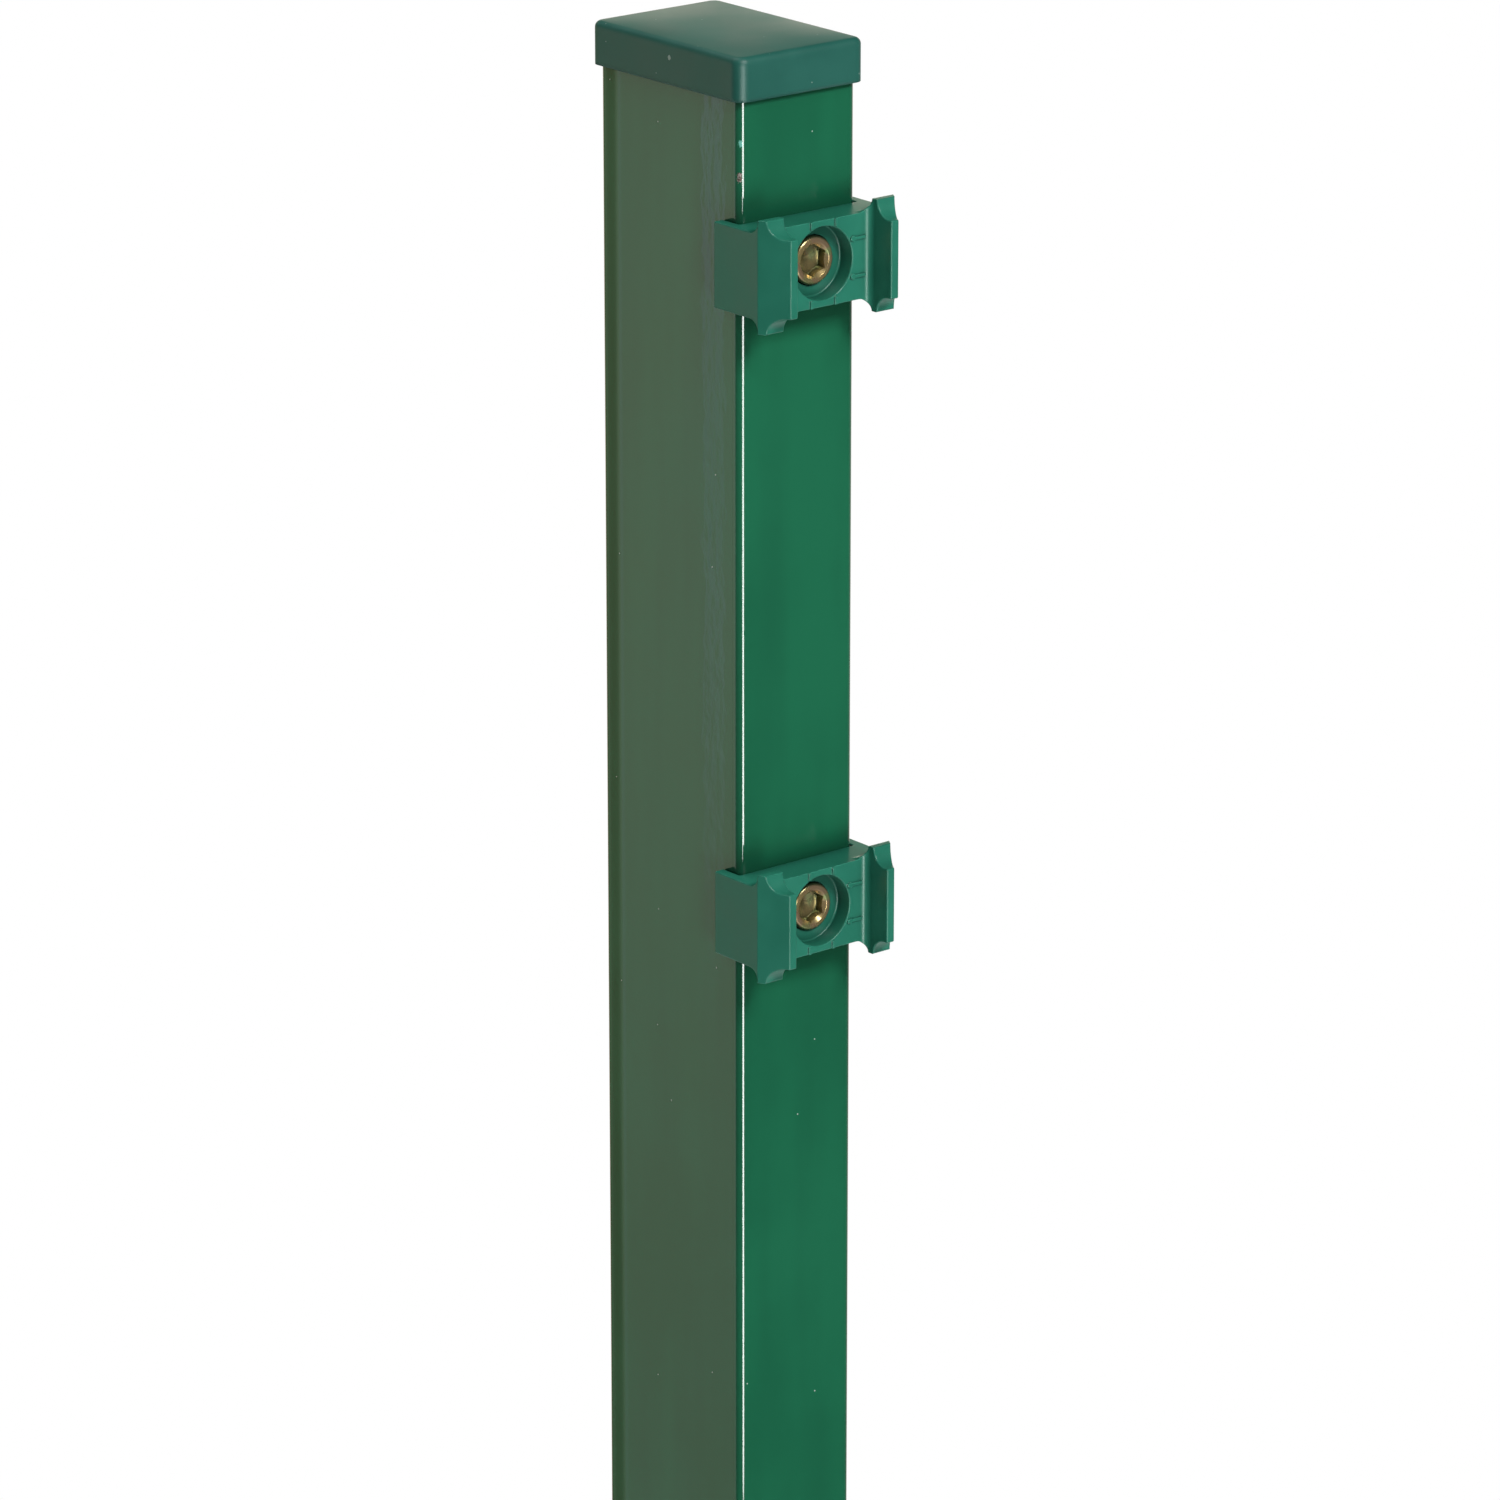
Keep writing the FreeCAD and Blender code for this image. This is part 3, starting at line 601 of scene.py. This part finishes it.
class POST_OT_plate_bolts(bpy.types.Operator):
    """Plate the bolts in yellow zinc"""
    bl_idname = "post.plate_bolts"
    bl_label = "Plate the bolts"

    def execute(self, context):
        look = context.scene.post_plating
        for name in BOLTS:
            material, n, shader = new_material(name + "_zinc")
            place = n.moved(n.place(), location=tuple(-middle(name)))
            bloom = n.group("zinc_bloom", {
                "Vector": place, "Main": look.gold, "Second": look.rose, "Third": look.leaf,
                "Scale": 190.0})
            # Painted shade: the plating is painted dark olive where a wall is near, inside the socket
            # and the recess.
            colour = n.mixed(n.openness(*BOLT_SHADOW), darker(look.leaf, 0.22), bloom["Color"])
            n.join(colour, shader.inputs["Base Color"])
            shader.inputs["Metallic"].default_value = 0.75
            gloss = n.varied(bloom["Frost"], look.roughness, less=0.06, more=0.08)
            n.join(gloss, shader.inputs["Roughness"])
            n.join(self.machining(n, look, place), shader.inputs["Normal"])
            dress(name, material)
        return {"FINISHED"}

    def machining(self, n, look, place):
        """Soft edges, rings left by turning on the end faces, and the thread round the shank."""
        split = n.split(place)
        reach = n.length(n.add("ShaderNodeCombineXYZ", {0: split["X"], 2: split["Z"]}).outputs[0])
        rings = n.math("SINE", n.math("MULTIPLY", reach, RING_RATE))
        rings = n.math("MULTIPLY", rings, n.math("GREATER_THAN", reach, SOCKET_REACH))
        angle = n.math("ARCTAN2", split["X"], split["Z"])
        turn = n.math("ADD", angle, n.math("MULTIPLY", split["Y"], 2 * math.pi / THREAD_PITCH))
        on_shank = n.math("LESS_THAN", reach, SHANK_REACH)
        endwise = n.math("ABSOLUTE", n.split(n.facing("True Normal"))["Y"])
        on_side = n.math("MULTIPLY", on_shank, n.math("LESS_THAN", endwise, 0.5))
        behind = n.math("MULTIPLY", on_side, n.math("GREATER_THAN", split["Y"], HEAD_END))
        thread = n.math("MULTIPLY", n.math("SINE", turn), behind)
        turned = n.bump(rings, look.turning_depth, n.rounded(BOLT_EDGE))
        return n.bump(thread, look.thread_depth / 2, turned)


class POST_OT_plate_nuts(bpy.types.Operator):
    """Plate the rivet nuts in bright zinc"""
    bl_idname = "post.plate_nuts"
    bl_label = "Plate the rivet nuts"

    def execute(self, context):
        look = context.scene.post_plating
        material, n, shader = new_material("nut_zinc")
        bloom = n.group("zinc_bloom", {
            "Vector": n.place(), "Main": look.zinc, "Second": darker(look.zinc, 0.7),
            "Third": darker(look.zinc, 0.85), "Scale": 300.0})
        n.join(bloom["Color"], shader.inputs["Base Color"])
        shader.inputs["Metallic"].default_value = 1.0
        n.join(n.ranged(bloom["Frost"], *CLOUD, 0.32, 0.5), shader.inputs["Roughness"])
        for name in NUTS:
            dress(name, material)
        return {"FINISHED"}


def bearing(azimuth, elevation):
    """Unit vector from the post towards a light or camera, turned left of its front."""
    return Vector((-math.sin(azimuth) * math.cos(elevation),
                   -math.cos(azimuth) * math.cos(elevation),
                   math.sin(elevation)))


def spot_off(target, azimuth, elevation, distance):
    """The spot at a distance from a target, by angles in degrees."""
    return target + bearing(math.radians(azimuth), math.radians(elevation)) * distance


def soft_light(name, spot, target, width, height, power):
    """A rectangular light at a spot, turned to its target and unseen by the camera."""
    data = bpy.data.lights.new(name, "AREA")
    data.shape = "RECTANGLE"
    data.size = width
    data.size_y = height
    data.energy = power
    lamp = bpy.data.objects.new(name, data)
    lamp.location = spot
    lamp.rotation_mode = "QUATERNION"
    lamp.rotation_quaternion = (target - spot).to_track_quat("-Z", "Y")
    lamp.visible_camera = False
    bpy.context.scene.collection.objects.link(lamp)
    return lamp


class POST_OT_set_studio(bpy.types.Operator):
    """Put the post on a pale floor in soft light, with the camera at the picture's angle"""
    bl_idname = "post.set_studio"
    bl_label = "Set the studio"

    def execute(self, context):
        look = context.scene.post_studio
        self.make_floor(look)
        self.make_world(context, look)
        self.make_lights(look)
        self.make_camera(context, look)
        context.scene.view_settings.view_transform = "Standard"
        return {"FINISHED"}

    def make_floor(self, look):
        """A round floor that fades into the white background, and is clear from below."""
        disc = bmesh.new()
        bmesh.ops.create_circle(disc, cap_ends=True, segments=96, radius=look.floor_radius)
        mesh = bpy.data.meshes.new("studio_floor")
        disc.to_mesh(mesh)
        disc.free()
        floor = bpy.data.objects.new("studio_floor", mesh)
        bpy.context.scene.collection.objects.link(floor)
        material, n, shader = new_material("studio_floor")
        shader.inputs["Base Color"].default_value = (0.8, 0.8, 0.8, 1)
        shader.inputs["Roughness"].default_value = 0.9
        near, far = (share * look.floor_radius for share in FLOOR_FADE)
        fade = n.ranged(n.length(n.place()), near, far, *FLOOR_WHITE)
        rays = n.add("ShaderNodeLightPath").outputs
        seen = n.math("ADD", rays["Is Camera Ray"], rays["Is Glossy Ray"], clamp=True)
        white = n.add("ShaderNodeEmission", {"Strength": 1.0}).outputs[0]
        blend = n.add("ShaderNodeMixShader", {
            0: n.math("MULTIPLY", fade, seen), 1: shader.outputs[0], 2: white})
        below = n.math("MULTIPLY", n.facing("Backfacing"), rays["Is Camera Ray"])
        clear = n.add("ShaderNodeBsdfTransparent").outputs[0]
        blend = n.add("ShaderNodeMixShader", {0: below, 1: blend.outputs[0], 2: clear})
        n.join(blend.outputs[0], material.node_tree.nodes["Material Output"].inputs[0])
        mesh.materials.append(material)

    def make_world(self, context, look):
        """White for the camera, an even fill for the matt faces, and walls for the gloss."""
        world = bpy.data.worlds.new("studio")
        context.scene.world = world
        world.use_nodes = True
        n = Nodes(world.node_tree)
        rays = n.add("ShaderNodeLightPath").outputs
        seen = n.math("ADD", rays["Is Camera Ray"], rays["Is Transmission Ray"], clamp=True)
        fill = n.add("ShaderNodeBackground", {"Color": (1, 1, 1), "Strength": look.fill}).outputs[0]
        white = n.add("ShaderNodeBackground", {"Color": (1, 1, 1), "Strength": 1.0}).outputs[0]
        room = n.add("ShaderNodeBackground", self.walls(n)).outputs[0]
        blend = n.add("ShaderNodeMixShader", {0: rays["Is Glossy Ray"], 1: fill, 2: room})
        blend = n.add("ShaderNodeMixShader", {0: seen, 1: blend.outputs[0], 2: white})
        n.join(blend.outputs[0], world.node_tree.nodes["World Output"].inputs[0])

    def walls(self, n):
        """The colour and the strength of the walls round the studio."""
        around = n.add("ShaderNodeTexCoord").outputs["Generated"]
        turn = n.add("ShaderNodeTexGradient", {"Vector": around}, gradient_type="RADIAL").outputs["Fac"]
        walls = n.add("ShaderNodeValToRGB", {"Fac": turn})
        ramp = walls.color_ramp
        first, last = ramp.elements[0], ramp.elements[-1]
        first.color = last.color = (*WALLS[0][1], 1)
        for degrees, colour in WALLS[1:]:
            ramp.elements.new(degrees / 360 + 0.5).color = (*colour, 1)
        height = n.split(around)["Z"]
        lift = n.math("MULTIPLY", n.ranged(height, *UPPER_WALL), n.ranged(height, *LOWER_WALL))
        match = n.vector("DOT_PRODUCT", around, GLOW_SIDE)["Value"]
        glow = n.math("MULTIPLY", n.ranged(match, *GLOW_MATCH), n.ranged(height, *GLOW_RISE))
        lift = n.math("MULTIPLY", lift, n.math("ADD", glow, 1.0))
        return {"Color": walls.outputs["Color"], "Strength": lift}

    def make_lights(self, look):
        """Soft lights in front, above and behind, and a tall one that only the gloss shows."""
        aim = Vector((0, 0, TUBE_HIGH[2] - look.aim_drop))
        main = spot_off(aim, azimuth=1, elevation=42, distance=1.8)
        soft_light("main_light", main, aim, width=0.5, height=0.5, power=look.key_power)
        low = Vector((0, 0, LOW_HEIGHT))
        side = spot_off(low, azimuth=15, elevation=0, distance=1.5)
        strip = soft_light("strip_light", side, low, width=0.3, height=0.8, power=look.strip_power)
        strip.visible_glossy = False
        behind_strip = spot_off(low, azimuth=15, elevation=0, distance=1.575)
        edge = soft_light("edge_light", behind_strip, low, width=0.6, height=0.9, power=look.edge_power)
        edge.visible_diffuse = False
        crown = Vector((0, 0, TUBE_HIGH[2]))
        top = crown + Vector(TOP_PLACE)
        soft_light("top_light", top, crown, width=0.8, height=0.8, power=look.top_power)
        heart = Vector((0, 0, BACK_HEIGHT))
        behind = spot_off(heart, azimuth=180, elevation=25, distance=2.0)
        back = soft_light("back_light", behind, heart, width=0.7, height=1.0, power=look.back_power)
        back.visible_glossy = False

    def make_camera(self, context, look):
        """A camera with no shift, turned to a point below the tube's end."""
        back = bearing(look.azimuth, look.elevation)
        right = Vector((math.cos(look.azimuth), -math.sin(look.azimuth), 0))
        aim = Vector((0, 0, TUBE_HIGH[2] - look.aim_drop)) + right * look.aim_side
        data = bpy.data.cameras.new("camera")
        data.lens = look.lens
        data.sensor_width = 36
        camera = bpy.data.objects.new("camera", data)
        camera.location = aim + back * look.distance
        camera.rotation_mode = "QUATERNION"
        camera.rotation_quaternion = (-back).to_track_quat("-Z", "Y")
        context.scene.collection.objects.link(camera)
        context.scene.camera = camera


STEPS = (POST_OT_coat_tube, POST_OT_finish_cap, POST_OT_finish_clips, POST_OT_plate_bolts,
         POST_OT_plate_nuts, POST_OT_set_studio)


class POST_PT_panel(bpy.types.Panel):
    """Lists the post's finishes and its studio"""
    bl_label = "Mesh panel post"
    bl_idname = "POST_PT_panel"
    bl_space_type = "VIEW_3D"
    bl_region_type = "UI"
    bl_category = "Post"

    def draw(self, context):
        for group in SETTINGS:
            settings = getattr(context.scene, group)
            for name in settings.__annotations__:
                self.layout.prop(settings, name)
        for step in STEPS:
            self.layout.operator(step.bl_idname)


SETTINGS = {
    "post_coating": CoatingSettings,
    "post_plastic": PlasticSettings,
    "post_plating": PlatingSettings,
    "post_studio": StudioSettings,
}


def register():
    for settings in SETTINGS.values():
        bpy.utils.register_class(settings)
    for step in STEPS:
        bpy.utils.register_class(step)
    bpy.utils.register_class(POST_PT_panel)
    for group, settings in SETTINGS.items():
        setattr(bpy.types.Scene, group, bpy.props.PointerProperty(type=settings))


def unregister():
    for group in SETTINGS:
        delattr(bpy.types.Scene, group)
    bpy.utils.unregister_class(POST_PT_panel)
    for step in reversed(STEPS):
        bpy.utils.unregister_class(step)
    for settings in reversed(list(SETTINGS.values())):
        bpy.utils.unregister_class(settings)


def main():
    register()
    make_grain_group()
    make_speck_group()
    make_bloom_group()
    bpy.ops.post.coat_tube()
    bpy.ops.post.finish_cap()
    bpy.ops.post.finish_clips()
    bpy.ops.post.plate_bolts()
    bpy.ops.post.plate_nuts()
    bpy.ops.post.set_studio()
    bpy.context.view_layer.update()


if __name__ == "__main__":
    main()
